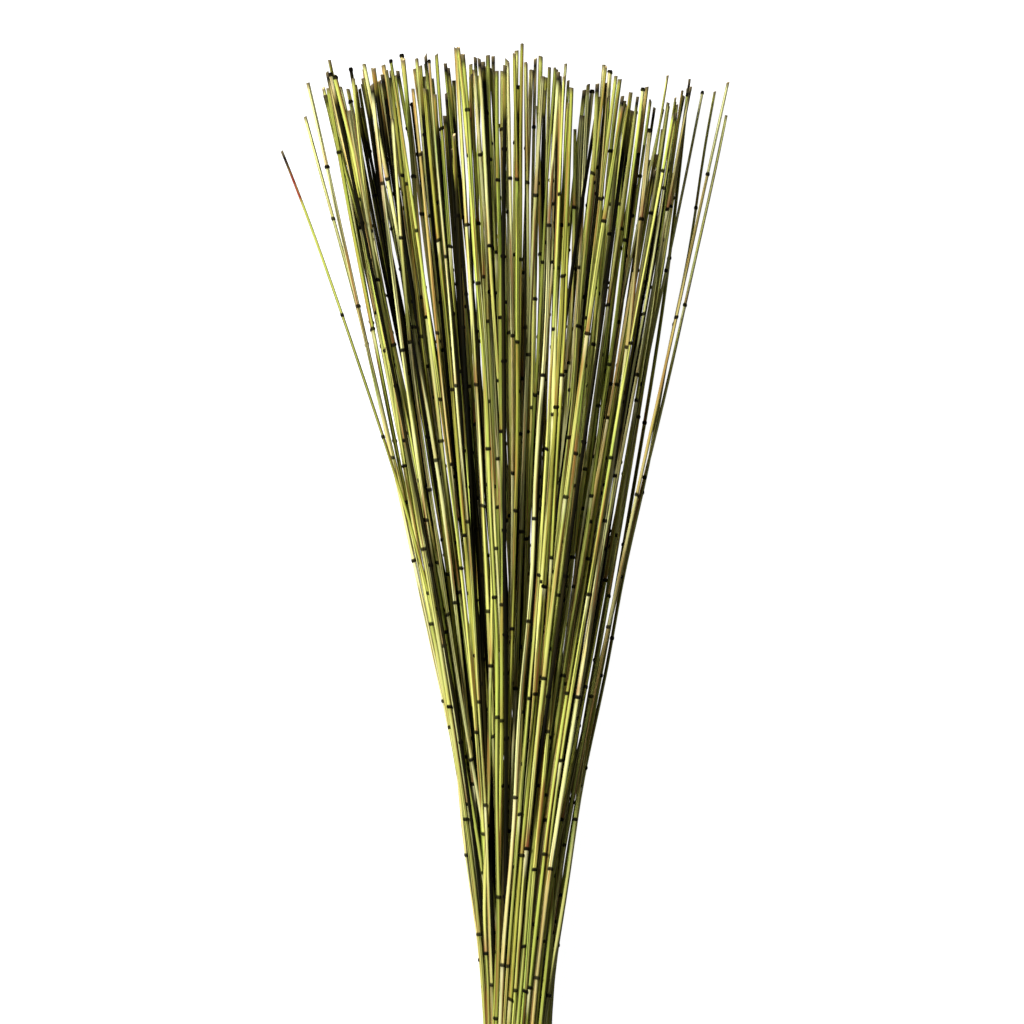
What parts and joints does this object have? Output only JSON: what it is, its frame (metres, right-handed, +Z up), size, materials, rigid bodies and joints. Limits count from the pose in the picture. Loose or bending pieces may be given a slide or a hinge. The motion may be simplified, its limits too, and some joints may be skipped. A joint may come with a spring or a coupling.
{
  "type": "bunch of reeds",
  "caption": "Bunch of dried jointed reeds, narrow at the cut ends and fanned at the tips, bound with twine and lying down.",
  "frame": {"origin": "centre of the bounding box, on the surface that the bunch lies on", "axes": "+Y along the bunch towards the tips, +Z up, X across the fan"},
  "size_m": [0.3812, 0.9492, 0.1513],
  "materials": {
    "reed": "dried olive, straw and brown stems with dark joints, satin",
    "twine": "plain natural jute, matt"
  },
  "bodies": {
    "root": {"reed_01": "reed", "reed_02": "reed", "reed_03": "reed", "reed_04": "reed", "reed_05": "reed", "reed_06": "reed", "reed_07": "reed", "reed_08": "reed", "reed_09": "reed", "reed_10": "reed", "reed_11": "reed", "reed_12": "reed", "reed_13": "reed", "reed_14": "reed", "reed_15": "reed", "reed_16": "reed", "reed_17": "reed", "reed_18": "reed", "reed_19": "reed", "reed_20": "reed", "reed_21": "reed", "reed_22": "reed", "reed_23": "reed", "reed_24": "reed", "reed_25": "reed", "reed_26": "reed", "reed_27": "reed", "reed_28": "reed", "reed_29": "reed", "reed_30": "reed", "reed_31": "reed", "reed_32": "reed", "reed_33": "reed", "reed_34": "reed", "reed_35": "reed", "reed_36": "reed", "reed_37": "reed", "reed_38": "reed", "reed_39": "reed", "reed_40": "reed", "sheaf_01": "reed", "sheaf_02": "reed", "sheaf_03": "reed", "sheaf_04": "reed", "sheaf_05": "reed", "sheaf_06": "reed", "sheaf_07": "reed", "sheaf_08": "reed", "sheaf_09": "reed", "sheaf_10": "reed", "sheaf_11": "reed", "sheaf_12": "reed", "sheaf_13": "reed", "sheaf_14": "reed", "sheaf_15": "reed", "sheaf_16": "reed", "sheaf_17": "reed", "sheaf_18": "reed", "sheaf_19": "reed", "twine": "twine"}
  },
  "joints": []
}
